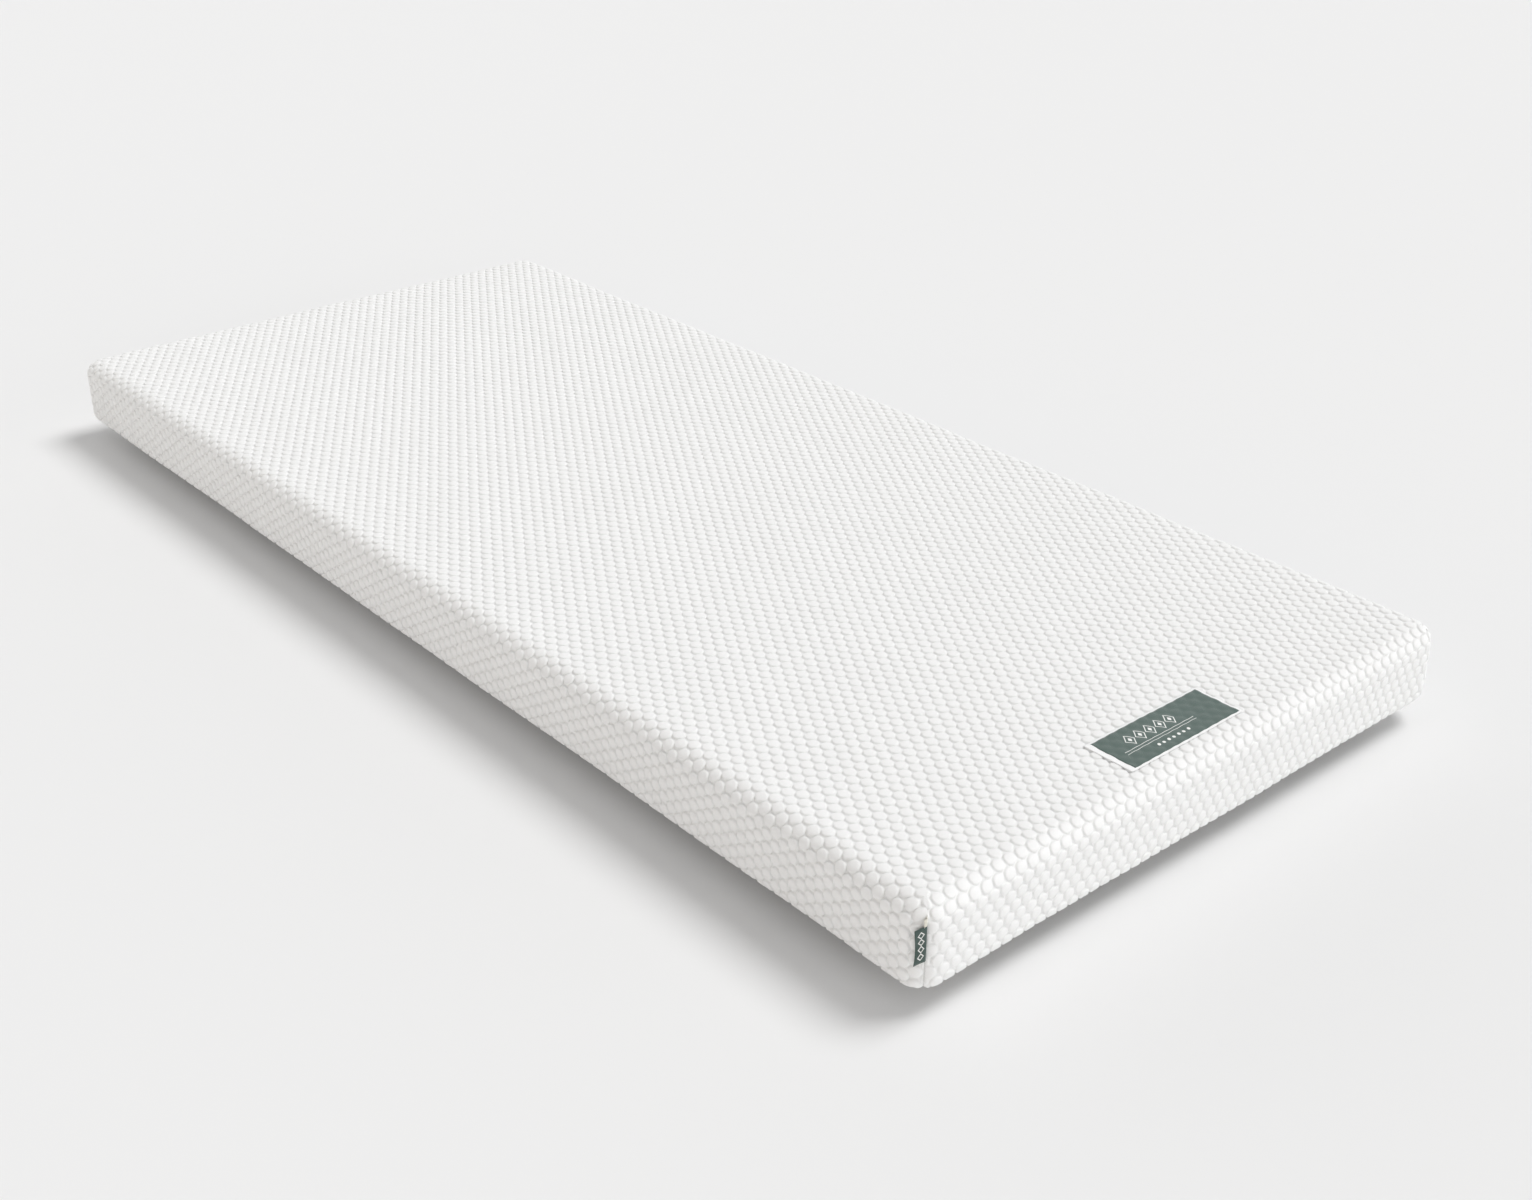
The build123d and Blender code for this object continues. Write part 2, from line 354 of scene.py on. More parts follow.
# %% [markdown]
# Cloth is never quite even, so slow swells up to a millimetre high run over the surface. They
# are plain sums of waves, so that each run gives the same mattress. A wave is given by its
# turns in a metre across and along, its start and its height in millimetres.

# %% Cloth helpers
SWELLS = [
    (2.3, 1.1, 0.4, 0.30), (-1.7, 2.9, 1.9, 0.26), (4.1, -2.2, 3.1, 0.19),
    (6.3, 5.2, 0.9, 0.12), (-9.4, 3.7, 2.2, 0.09), (11.2, 9.5, 5.0, 0.06),
    (17.3, -13.1, 4.1, 0.035), (-23.0, 19.0, 1.2, 0.02),
]
SMALLEST_AREA = 1e-10


def swell(x, y):
    """Slow unevenness of the cloth, as metres off the plain form."""
    total = sum(a * np.sin(TURN * (p * x + q * y) + s) for p, q, s, a in SWELLS)
    return total * MM


def soft_step(value, low, high):
    """0 below low, 1 above high, and a soft step between them."""
    share = np.clip((value - low) / (high - low), 0, 1)
    return share * share * (3 - 2 * share)


def cloth_piece(name, points, corners, flat):
    """A mesh of triangles, with the flat cloth's metres as its UV map. Collapsed triangles
    and unused points are left out, and the finished mesh is one smooth skin."""
    a, b, c = (points[corners[:, i]] for i in range(3))
    area = np.linalg.norm(np.cross(b - a, c - a), axis=1) / 2
    corners = corners[area > SMALLEST_AREA]
    used, corners = np.unique(corners, return_inverse=True)
    corners = corners.reshape(-1, 3)
    mesh = bpy.data.meshes.new(name)
    mesh.vertices.add(len(used))
    mesh.vertices.foreach_set("co", points[used].astype(np.float32).ravel())
    mesh.loops.add(corners.size)
    mesh.loops.foreach_set("vertex_index", corners.ravel().astype(np.int32))
    mesh.polygons.add(len(corners))
    mesh.polygons.foreach_set("loop_start", np.arange(0, corners.size, 3, dtype=np.int32))
    mesh.update(calc_edges=True)
    layer = mesh.uv_layers.new(name="cloth")
    layer.data.foreach_set("uv", flat[used][corners.ravel()].astype(np.float32).ravel())
    mesh.shade_smooth()
    piece = bpy.data.objects.new(name, mesh)
    bpy.context.scene.collection.objects.link(piece)
    return piece


def run_along(line):
    """How far each point of a line lies from its start, along it."""
    steps = np.linalg.norm(np.diff(line, axis=0), axis=1)
    return np.concatenate([[0], np.cumsum(steps)])


def joined(loops):
    """The triangles between each closed loop of points and the next."""
    corners = []
    for above, below in zip(loops, loops[1:]):
        a, b, c, d = above, np.roll(above, -1), np.roll(below, -1), below
        corners += [np.stack([a, c, b], -1), np.stack([a, d, c], -1)]
    return np.concatenate(corners)


def dress(piece, material, node=None):
    """Gives a piece its material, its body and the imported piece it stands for."""
    piece.data.materials.append(material)
    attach(piece, "mattress")
    if node:
        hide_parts(node)


print("cloth helpers ready")

# %% [markdown]
# The honeycomb's cells are laid over the whole flat cut. Each bubble differs a little in
# height and place from the next, most at its crown and not at all along the rim that it
# shares. The points of shared rims are then merged on a fine grid, which makes the cloth one
# mesh. The grid is shifted a little, because rounding parts equal points that lie on its edge.

# %% Bubbles over the flat cut
BUBBLE_SEED = 11
PUFF_SPREAD, PUFF_LEAST, PUFF_MOST = 0.025, 0.92, 1.08
SHIFT_SPREAD, SHIFT_MOST = 0.045 * MM, 0.15 * MM
RING_SHIFTS = [1.0, 1.0, 1.0, 0.8, 0.0]
CELL_REACH = 9 * MM
MERGE_STEP, MERGE_START = 0.01 * MM, 0.13


def tiled_cells(half_u, half_v):
    """Flat points, heights and triangles of all the bubbles that a rectangle holds."""
    cell, cell_corners = bubble_cell()
    reach_i = math.ceil(half_u / BUBBLE_PITCH) + 1
    reach_j = math.ceil(half_v / ROW_PITCH) + 1
    j, i = np.mgrid[-reach_j:2 * reach_j, -reach_i:2 * reach_i]
    middle_u = FIRST_BUBBLE[0] + (i + (j % 2) / 2) * BUBBLE_PITCH
    middle_v = FIRST_BUBBLE[1] + j * ROW_PITCH
    inside = np.abs(middle_u) < half_u + CELL_REACH
    inside &= np.abs(middle_v) < half_v + CELL_REACH
    middles = np.stack([middle_u[inside], middle_v[inside]], -1)
    chance = np.random.default_rng(BUBBLE_SEED)
    puff = chance.normal(1.0, PUFF_SPREAD, len(middles)).clip(PUFF_LEAST, PUFF_MOST)
    shift = chance.normal(0.0, SHIFT_SPREAD, (len(middles), 1, 2)).clip(-SHIFT_MOST, SHIFT_MOST)
    flat = middles[:, None] + cell + shift * np.repeat(RING_SHIFTS, RING_POINTS)[:, None]
    radius = np.linalg.norm(cell, axis=1)
    radius[-RING_POINTS[-1]:] = BUBBLE_RINGS[-1]
    height = np.interp(radius, BUBBLE_RINGS, RING_HEIGHTS) * puff[:, None]
    corners = cell_corners + (np.arange(len(middles)) * len(cell))[:, None, None]
    flat, height = flat.reshape(-1, 2), height.ravel()
    grid = np.round(flat / MERGE_STEP + MERGE_START).astype(np.int64)
    key = grid[:, 0] * 10_000_000 + grid[:, 1]
    _, first, back = np.unique(key, return_index=True, return_inverse=True)
    return flat[first], height[first], back.ravel()[corners.reshape(-1, 3)]


half_u, half_v = AXIS_X + FLAP, AXIS_Y + FLAP
flat, height, corners = tiled_cells(half_u, half_v)
u = np.clip(flat[:, 0], -half_u, half_u)
v = np.clip(flat[:, 1], -half_v, half_v)
print("flat cut", round(2 * half_u, 3), "x", round(2 * half_v, 3), "m")

# %% [markdown]
# On the right long side the cover has a slit for its zip: the points inside it move out to
# its rim. At each corner the cloth that is cut away folds up into the seam, and its points
# move to even stations down it. The two sides then meet at the same places, with no gap.

# %% The slit and the corner seams
ZIP_HEIGHT = 38 * MM
SLIT_HALF = 6.3 * MM
SLIT_END = 922 * MM
SEAM_STATION = 6 * MM

slit_middle = AXIS_X + WALL_START + (HEIGHT - TOP_RADIUS - ZIP_HEIGHT)
past_side = np.abs(u - slit_middle) - SLIT_HALF
past_end = np.abs(v) - SLIT_END
past_lip = np.maximum(past_side, past_end)
in_slit = past_lip < 0
towards_end = past_end > past_side
lip_u = slit_middle + np.sign(u - slit_middle + 1e-9) * SLIT_HALF
u_cut = np.where(in_slit & ~towards_end, lip_u, u)
v_cut = np.where(in_slit & towards_end, np.sign(v) * SLIT_END, v)
past_lip = np.maximum(past_lip, 0)

_, _, from_seam, down = wrap(u_cut, v_cut)
sewn = (down > 0) & (from_seam < 1e-7)
station = np.minimum(np.round(down / SEAM_STATION) * SEAM_STATION, FLAP)
u_sewn = np.where(sewn, np.sign(u_cut) * (AXIS_X + station), u_cut)
v_sewn = np.where(sewn, np.sign(v_cut) * (AXIS_Y + station), v_cut)
points, normals, from_seam, down = wrap(u_sewn, v_sewn)
from_seam = np.where(sewn, 0, from_seam)
print("slit", round(2 * SLIT_END, 3), "m long,", int(sewn.sum()), "points sewn")

# %% [markdown]
# The relief is full over most of the cloth, and a little deeper down the long sides, where
# the cloth is less stretched. It fades to plain knit beside the corner seams, at the flap's
# edge and at the slit, whose lips turn inwards. The seams lie in a groove with small puckers
# where the stitches draw the knit in. Under the label the bubbles are pressed down.

# %% The cover
BELOW_CORNER = (30 * MM, 46 * MM)
SEAM_FADE, CORNER_FADE = (0.5 * MM, 2.5 * MM), 4 * MM
LIP_FADE, FLAP_FADE = (3.5 * MM, 7.5 * MM), (0, 5 * MM)
SIDE_DEEPER, SIDE_RANGE = 0.32, (18 * MM, 44 * MM)
LIP_LEVEL, LIP_WIDTH = 0.4 * MM, 10 * MM
PLAIN_LEVEL, CORNER_SINK = 1.4 * MM, 0.5 * MM
TAPE_LIFT, TAPE_RANGE = 0.8 * MM, (9 * MM, 18 * MM)
LABEL_PRESS, LABEL_RANGE = 1.0 * MM, (-0.1 * MM, 2 * MM)
TRENCH_MIDDLE, TRENCH_WIDTH = 1.2 * MM, 1.5 * MM
SEAM_GROOVE, GROOVE_WIDTH = 1.6 * MM, 1.6 * MM
PUCKER_HEIGHT, PUCKER_WIDTH, PUCKER_PITCH = 0.35 * MM, 5 * MM, 7 * MM
LIP_TURN, LIP_TURN_WIDTH = 0.5 * MM, 1.4 * MM

low_on_corner = soft_step(down, *BELOW_CORNER)
ease = soft_step((from_seam - SEAM_FADE[0]) / (SEAM_FADE[1] + CORNER_FADE * low_on_corner), 0, 1)
ease *= soft_step(past_lip, *LIP_FADE) * soft_step(FLAP - down, *FLAP_FADE)
deeper = 1 + SIDE_DEEPER * soft_step(np.abs(u) - AXIS_X, *SIDE_RANGE)
height = BUBBLE_RISE - (BUBBLE_RISE - height) * deeper
plain_level = np.where(past_lip < LIP_WIDTH, LIP_LEVEL, PLAIN_LEVEL - CORNER_SINK * low_on_corner)
over_tape = 1 - soft_step(past_lip, *TAPE_RANGE)
lift = height * ease + plain_level * (1 - ease) + TAPE_LIFT * over_tape

border_low, border_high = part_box("top_label_border")
past_label = np.hypot(
    u - np.clip(u, border_low.x, border_high.x), v - np.clip(v, border_low.y, border_high.y)
)
lift -= LABEL_PRESS * (1 - soft_step(past_label, *LABEL_RANGE)) * (height / BUBBLE_RISE)
beside = np.exp(-(((border_low.x - u - TRENCH_MIDDLE) / TRENCH_WIDTH) ** 2))
beside *= (u < border_low.x + 2 * MM) & (v > border_low.y) & (v < border_high.y)
lift -= LABEL_PRESS * beside * (1 - height / BUBBLE_RISE)

below_top = HEIGHT - points[:, 2]
uneven = swell(points[:, 0] + 0.8 * below_top, points[:, 1] + 0.6 * below_top)
lift += uneven * soft_step(past_lip, 2 * MM, 30 * MM) - BUBBLE_RISE + COVER_LIFT
groove = np.exp(-((from_seam / GROOVE_WIDTH) ** 2)) * low_on_corner
pucker = np.exp(-from_seam / PUCKER_WIDTH) * np.sin(TURN * down / PUCKER_PITCH)
pucker *= low_on_corner
lift += PUCKER_HEIGHT * pucker - SEAM_GROOVE * groove
lift -= LIP_TURN * np.exp(-((past_lip / LIP_TURN_WIDTH) ** 2))
points = points + normals * lift[:, None]
cut_u, cut_v = np.abs(flat[:, 0]) >= half_u, np.abs(flat[:, 1]) >= half_v
for collapsed in (in_slit, sewn, cut_u, cut_v):
    corners = corners[~collapsed[corners].all(axis=1)]
cover = cloth_piece("cover", points, corners, np.stack([u_cut, v_cut], -1))
print("cover", len(cover.data.polygons), "triangles")

# %% [markdown]
# The knit is matt white cotton and polyester. Its own colour is even. What reads as texture
# is its fine loops and a light fuzz, and the drawn-in lines between the bubbles are darkened
# as painted shade. The pattern follows the cloth, so it reads the flat cut's metres.

# %% Bubble knit finish
def from_middle(u, v):
    """Distance from the middle of a point's bubble, in metres, as a wire."""
    away = []
    for shift in (0.0, 0.5):
        across = (u - FIRST_BUBBLE[0]) / BUBBLE_PITCH + (0.5 - shift)
        along = (v - FIRST_BUBBLE[1]) / (2 * ROW_PITCH) + (0.5 - shift)
        across = (across.math("FLOORED_MODULO", 1.0) - 0.5) * BUBBLE_PITCH
        along = (along.math("FLOORED_MODULO", 1.0) - 0.5) * (2 * ROW_PITCH)
        away.append((across * across + along * along).math("SQRT"))
    return away[0].math("MINIMUM", away[1])


def knit_finish(name, light, dark, bubbles=True):
    """Fine knitted loops; where the cloth has bubbles, its drawn-in lines sink and get painted
    shade.
    """
    finish = Finish(
        name, roughness=0.88, specular_ior_level=0.25, sheen_weight=0.12, sheen_roughness=0.5
    )
    cloth, u, v = finish.cloth_axes()
    loops = u.wave(1.05 * MM) * (v + u.wave(2.1 * MM) * (0.3 * MM)).wave(0.9 * MM)
    fuzz = finish.grain(cloth, 900.0, 3.0, 0.6)
    relief = loops * 0.25 + fuzz * 0.35
    tone = fuzz * 0.4 + finish.grain(cloth, 9.0) * 0.2 + 0.35
    if bubbles:
        rim = 1 - from_middle(u, v).smooth(BUBBLE_RINGS[2] - 0.3 * MM, BUBBLE_RINGS[3])
        relief = relief + rim * 0.8
        # Painted shade: the colour drops to 0.82 in the drawn-in lines round each bubble's crown.
        tone = tone * (0.82 + rim * 0.18)
    colour = tone.smooth(0.0, 0.7).blend(dark, light)
    return finish.set(base_color=colour, relief=relief, depth=0.35 * MM)


cover_knit = knit_finish("cover_knit", (0.88, 0.88, 0.875), (0.74, 0.74, 0.73))
dress(cover, cover_knit, "cover_cap")
print("cover dressed")

# %% [markdown]
# The underside is closed by a base panel of plain, finer knit. It is sewn to the cover all
# round, and the seam allowance shows as an overlocked ridge. The panel is a grid of cloth
# with slow swells, pressed flat where it carries the mattress.

# %% Base panel
PANEL_HALF = (WIDTH / 2 - BASE_INSET, LENGTH / 2 - BASE_INSET)
PANEL_CORNER = CORNER_RADIUS - BASE_INSET
PANEL_STEP = 9 * MM


def rounded_in(x, y, half_x, half_y, radius):
    """Moves the points of a rectangle's corner squares onto quarter discs."""
    across = np.maximum(np.abs(x) - (half_x - radius), 0)
    along = np.maximum(np.abs(y) - (half_y - radius), 0)
    away = np.hypot(across, along)
    share = np.maximum(across, along) / np.maximum(away, 1e-9)
    x = np.sign(x) * (np.minimum(np.abs(x), half_x - radius) + across * share)
    y = np.sign(y) * (np.minimum(np.abs(y), half_y - radius) + along * share)
    return x, y


def graded(half, step, edge):
    """Places from -half to half, with the last steps short, so that a corner stays round."""
    inner = np.linspace(-half + edge, half - edge, round(2 * (half - edge) / step) + 1)
    rim = np.linspace(0, edge, 7)[1:]
    return np.concatenate([-half + edge - rim[::-1], inner, half - edge + rim])


def woven_grid(xs, ys):
    """Points and triangles of a plain grid."""
    y, x = np.meshgrid(ys, xs, indexing="ij")
    here = np.arange(len(xs) * (len(ys) - 1)).reshape(-1, len(xs))[:, :-1]
    a, b, c, d = here, here + 1, here + 1 + len(xs), here + len(xs)
    halves = [np.stack(half, -1).reshape(-1, 3) for half in ((a, b, c), (a, c, d))]
    return x.ravel(), y.ravel(), np.concatenate(halves)


x, y, corners = woven_grid(*(graded(half, PANEL_STEP, PANEL_CORNER) for half in PANEL_HALF))
x, y = rounded_in(x, y, *PANEL_HALF, PANEL_CORNER)
from_rim = np.minimum(PANEL_HALF[0] - np.abs(x), PANEL_HALF[1] - np.abs(y))
z = 0.5 * MM + np.abs(swell(1.7 * x, 1.7 * y)) * soft_step(from_rim, 0, 30 * MM)
z += 0.6 * MM * np.exp(-from_rim / (6 * MM)) * (1 + np.sin(TURN * (x + y) / (11 * MM)))
base_panel = cloth_piece(
    "base_panel", np.stack([x, y, z], -1), corners[:, ::-1], np.stack([x, y], -1)
)
base_knit = knit_finish("base_knit", (0.80, 0.80, 0.79), (0.66, 0.66, 0.65), bubbles=False)
dress(base_panel, base_knit, "cover_base_panel")
print("base panel", len(base_panel.data.polygons), "triangles")

# %% [markdown]
# The seams are ridges of overlocked thread: a small round section is carried along the seam's
# line, and it swells and pinches once per stitch.

# %% Seams
SEAM_STITCH = 3.2 * MM
SEAM_SIDES = 7
SEAM_SUNK = 1.7 * MM
SEAM_START, SEAM_STEP = 28 * MM, 0.8 * MM


def stitched_ridge(name, line, outward, half_width, rise, closed=False):
    """A ridge of thread along a line of points, with the direction that it faces at each.
    An open ridge starts thin and has a cap at both ends."""
    ahead, behind = np.roll(line, -1, axis=0), np.roll(line, 1, axis=0)
    if not closed:
        ahead[-1], behind[0] = line[-1], line[0]
    along = ahead - behind
    along /= np.linalg.norm(along, axis=1)[:, None]
    across = np.cross(along, outward)
    across /= np.linalg.norm(across, axis=1)[:, None]
    run = run_along(line)
    pulse = 0.78 + 0.22 * np.abs(np.sin(math.pi * run / SEAM_STITCH))
    if not closed:
        pulse *= soft_step(run, -2 * MM, 4 * MM)
    lean = 0.25 * np.sin(TURN * run / SEAM_STITCH)
    turns = np.arange(SEAM_SIDES) * TURN / SEAM_SIDES
    side = np.cos(turns) * (half_width * pulse)[:, None]
    up = (np.sin(turns) + lean[:, None] * np.cos(turns)) * (rise * pulse)[:, None]
    points = line[:, None] + across[:, None] * side[..., None] + outward[:, None] * up[..., None]
    rings = np.arange(len(line) * SEAM_SIDES).reshape(-1, SEAM_SIDES)
    if closed:
        corners = joined([*rings, rings[0]])
    else:
        fan = np.arange(1, SEAM_SIDES - 1)
        start_cap = np.stack([fan, fan + 1, 0 * fan], -1)
        end_cap = start_cap[:, ::-1] + rings[-1, 0]
        corners = np.concatenate([joined(rings), start_cap, end_cap])
    flat = np.stack([np.repeat(run, SEAM_SIDES), np.tile(turns * half_width, len(line))], -1)
    return cloth_piece(name, points.reshape(-1, 3), corners, flat)


def thread_finish():
    """Loose white sewing thread, laid in slanting turns round the seam."""
    finish = Finish("seam_thread", roughness=0.75, sheen_weight=0.15)
    cloth, run, round_it = finish.cloth_axes()
    turns = (run + round_it * 0.6).wave(0.8 * MM)
    fuzz = finish.grain(cloth, 1500.0, 3.0)
    tone = (turns * 0.6 + fuzz * 0.5).smooth(0.1, 0.9)
    colour = tone.blend((0.62, 0.62, 0.60), (0.84, 0.84, 0.83))
    return finish.set(base_color=colour, relief=turns + fuzz * 0.4, depth=0.2 * MM)


seam_thread = thread_finish()
down = np.arange(SEAM_START, FLAP, SEAM_STEP)
reach, height, n_out, n_up = edge_profile(down)
for end, end_sign in (("foot", -1), ("head", 1)):
    for side, side_sign in (("left", -1), ("right", 1)):
        facing = np.array([side_sign * math.cos(SEAM_TURN), end_sign * math.sin(SEAM_TURN)])
        axis = np.array([side_sign * AXIS_X, end_sign * AXIS_Y])
        outward = np.column_stack([n_out[:, None] * facing, n_up])
        line = np.column_stack([axis + reach[:, None] * facing, height])
        line -= outward * SEAM_SUNK
        seam = stitched_ridge(f"corner_seam.{end}_{side}", line, outward, 0.9 * MM, 0.7 * MM)
        dress(seam, seam_thread, f"corner_seam_{end}_{side}")
print("corner seams", len(down), "rings each")

# %% Seam round the base panel
turns = np.linspace(0, math.pi / 2, 10)
quarters = []
for k, (sx, sy) in enumerate(((1, 1), (-1, 1), (-1, -1), (1, -1))):
    angle = turns + k * math.pi / 2
    centre = np.array([sx * AXIS_X, sy * AXIS_Y])
    quarters.append(centre + PANEL_CORNER * np.column_stack([np.cos(angle), np.sin(angle)]))
outline = np.concatenate(quarters + [quarters[0][:1]])
run = run_along(outline)
count = round(run[-1] / (1.6 * MM))
stops = np.arange(count) * run[-1] / count
x, y = (np.interp(stops, run, along) for along in outline.T)
line = np.column_stack([x, y, np.full(count, 1.0 * MM)])
outward = np.tile([0.0, 0.0, -1.0], (count, 1))
base_ridge = stitched_ridge("base_seam_ridge", line, outward, 1.9 * MM, 0.9 * MM, closed=True)
dress(base_ridge, seam_thread, "base_seam")
print("base seam", round(run[-1], 2), "m round")

# %% [markdown]
# The label is a woven ribbon, sewn flat on the top near the foot end. The bubbles under it
# show through as a faint swell. Its cloth is green satin with a pattern in off-white thread,
# and it is sewn on a slightly larger white ribbon, which shows round it as a border.

# %% Label
label_low, label_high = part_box("top_label")
LABEL_LEVEL = COVER_LIFT + 0.35 * MM
LABEL_THICK = 0.45 * MM
LABEL_SAG = 0.7 * MM
BORDER_SUNK = 0.25 * MM


def modified(piece, kind, **settings):
    """Makes what a modifier gives the piece's own mesh."""
    bpy.ops.object.select_all(action="DESELECT")
    piece.select_set(True)
    bpy.context.view_layer.objects.active = piece
    bpy.ops.object.modifier_add(type=kind)
    for name, value in settings.items():
        setattr(piece.modifiers[-1], name, value)
    bpy.ops.object.modifier_apply(modifier=piece.modifiers[-1].name)


def thicken(piece, thickness):
    """Gives a sheet its thickness, behind its face."""
    modified(piece, "SOLIDIFY", thickness=thickness, offset=-1.0)


def over_bubbles(x, y):
    """The level of a ribbon that lies on the bubbles and sinks a little between them, less
    so at its stiff short end."""
    sag = LABEL_SAG * (0.2 + 0.8 * soft_step(x - border_low.x, 1 * MM, 8 * MM))
    sag *= soft_step(from_bubble(x, y), 2 * MM, 9 * MM)
    return HEIGHT + LABEL_LEVEL + swell(x, y) - sag


def span(low, high, step):
    """Even places from low to high, about a step apart."""
    return np.linspace(low, high, max(2, round((high - low) / step) + 1))


def laid_ribbon(name, low, high, step, sunk, origin):
    """A ribbon that lies on the top between two corners. Its cloth is measured from origin."""
    x, y, corners = woven_grid(span(low.x, high.x, step), span(low.y, high.y, step))
    points = np.stack([x, y, over_bubbles(x, y) - sunk], -1)
    flat = np.stack([x - origin[0], y - origin[1]], -1)
    ribbon = cloth_piece(name, points, corners, flat)
    thicken(ribbon, LABEL_THICK)
    return ribbon


label_middle = (label_low + label_high) / 2
label = laid_ribbon("woven_label", label_low, label_high, 1.9 * MM, 0.0, label_middle)
border = laid_ribbon("label_border", border_low, border_high, 2.0 * MM, BORDER_SUNK, (0, 0))
print("label", round((label_high.x - label_low.x) / MM, 1), "mm wide")

# %% [markdown]
# The pattern on the label is plain woven ornament: a band of nested diamonds, two fine lines
# and a row of small dots. It is drawn by distances in the label's own metres. A twill runs
# slantwise over the ground.

# %% Label finishes
LABEL_GREEN = (0.086, 0.127, 0.113)
OFF_WHITE = (0.93, 0.93, 0.91)
YARN_PITCH = 0.7 * MM
DIAMOND_PITCH, DIAMOND_HALF, DIAMOND_LEVEL = 17 * MM, 6.9 * MM, 9 * MM
DIAMOND_SPAN = (-59.5 * MM, 25.5 * MM)
LINE_LEVELS, LINE_SPAN = (-4.9 * MM, -9.3 * MM), (-76 * MM, 42 * MM)
DOT_PITCH, DOT_LEVEL, DOT_SPAN = 8.5 * MM, -18 * MM, (-38 * MM, 21 * MM)


def stroke(distance, half_width):
    """1 on a line, 0 beside it, from the distance to its middle."""
    return 1 - distance.math("ABSOLUTE").smooth(half_width * 0.7, half_width * 1.3)


def repeat(value, pitch):
    """Folds a coordinate so that a pattern repeats about zero."""
    return ((value / pitch + 0.5).math("FLOORED_MODULO", 1.0) - 0.5) * pitch


def within(value, low, high):
    """1 between two limits, and 0 outside them."""
    soft = 0.2 * MM
    return value.smooth(low - soft, low + soft) * (1 - value.smooth(high - soft, high + soft))


def twill(finish, place, along, across, pitch=YARN_PITCH):
    """Slanting ribs of yarn with a little fuzz."""
    return (along + across * 0.7).wave(pitch) * 0.6 + finish.grain(place, 2200.0) * 0.5


def figured(finish, weave, pattern, ground, darkest, rise):
    """A pattern in off-white yarn on a ground, shaded and raised by their weave."""
    shade = weave.smooth(0.0, 1.0)
    cloth = shade.blend([c * darkest[0] for c in ground], [c * 1.15 for c in ground])
    yarn = shade.blend([c * darkest[1] for c in OFF_WHITE], OFF_WHITE)
    return finish.set(
        base_color=pattern.blend(cloth, yarn), relief=weave + pattern * rise, depth=0.05 * MM
    )


def label_finish():
    """Satin with its ornament."""
    finish = Finish("label_weave", roughness=0.55, sheen_weight=0.2, specular_ior_level=0.25)
    place, u, v = finish.cloth_axes()
    diamond = repeat(u, DIAMOND_PITCH).math("ABSOLUTE")
    diamond = diamond + (v - DIAMOND_LEVEL).math("ABSOLUTE") * 0.75
    band = stroke(diamond - DIAMOND_HALF, 0.7 * MM)
    band = band.math("MAXIMUM", 1 - diamond.smooth(2.4 * MM, 2.8 * MM))
    band = band * within(u, *DIAMOND_SPAN)
    upper, lower = (stroke(v - level, 0.35 * MM) for level in LINE_LEVELS)
    lines = upper.math("MAXIMUM", lower) * within(u, *LINE_SPAN)
    dot = repeat(u, DOT_PITCH).math("POWER", 2.0) + (v - DOT_LEVEL).math("POWER", 2.0)
    dots = (1 - dot.math("SQRT").smooth(1.9 * MM, 2.3 * MM)) * within(u, *DOT_SPAN)
    pattern = band.math("MAXIMUM", lines).math("MAXIMUM", dots)
    weave = twill(finish, place, u, v)
    return figured(finish, weave, pattern, LABEL_GREEN, (0.8, 0.9), 1.2)


def weave_finish(name, light, dark, pitch=YARN_PITCH):
    """A plain woven ribbon of one colour."""
    finish = Finish(name, roughness=0.7, sheen_weight=0.15)
    place, u, v = finish.cloth_axes()
    weave = twill(finish, place, u, v, pitch)
    return finish.set(
        base_color=weave.smooth(0.1, 0.9).blend(dark, light), relief=weave, depth=0.04 * MM
    )


label_weave = label_finish()
border_weave = weave_finish("label_border", (0.95, 0.95, 0.95), (0.86, 0.86, 0.86))
dress(label, label_weave, "top_label")
dress(border, border_weave, "top_label_border")
print("label dressed")

# %% [markdown]
# The side tab is a short length of green ribbon, folded double and caught in the near corner
# seam. It leans round the corner along the long side, its free end has dropped a little, and
# it waves. The ribbon is laid out as a path seen from above, and then carried up its height.

# %% Side tab
TAB_BOTTOM, TAB_HEIGHT, TAB_REACH = 43 * MM, 42 * MM, 11.4 * MM
TAB_GAP, TAB_DROP, TAB_WAVE, TAB_LEAF = 0.42 * MM, 3.8 * MM, 1.2 * MM, 0.4 * MM
TAB_BEND = 1.6 * MM
TAB_LEAN = math.radians(8)
RIBBON_ROWS = 22
SELVEDGE_BOTTOM = TAB_BOTTOM + TAB_HEIGHT - 2 * MM
SELVEDGE_HEIGHT, SELVEDGE_REACH = 10.5 * MM, 2.9 * MM
SELVEDGE_GAP, SELVEDGE_DROP, SELVEDGE_WAVE, SELVEDGE_LEAF = 0.3 * MM, 0.6 * MM, 0.2 * MM, 0.3 * MM


def ribbon_path(reach):
    """The middle of a doubled ribbon, from above: how far each point lies out of the seam and
    along the side, and the direction across it. It comes straight out of the seam and turns."""
    path = [(out, 0.0, 0.0, 1.0) for out in np.linspace(-3 * MM, 0, 4)]
    path += [
        (TAB_BEND * math.sin(b), TAB_BEND * (1 - math.cos(b)), math.sin(b), math.cos(b))
        for b in np.linspace(0, math.pi / 2, 6)[1:]
    ]
    path += [(TAB_BEND, side, 1.0, 0.0) for side in np.linspace(TAB_BEND, reach, 10)[1:]]
    return np.array(path)


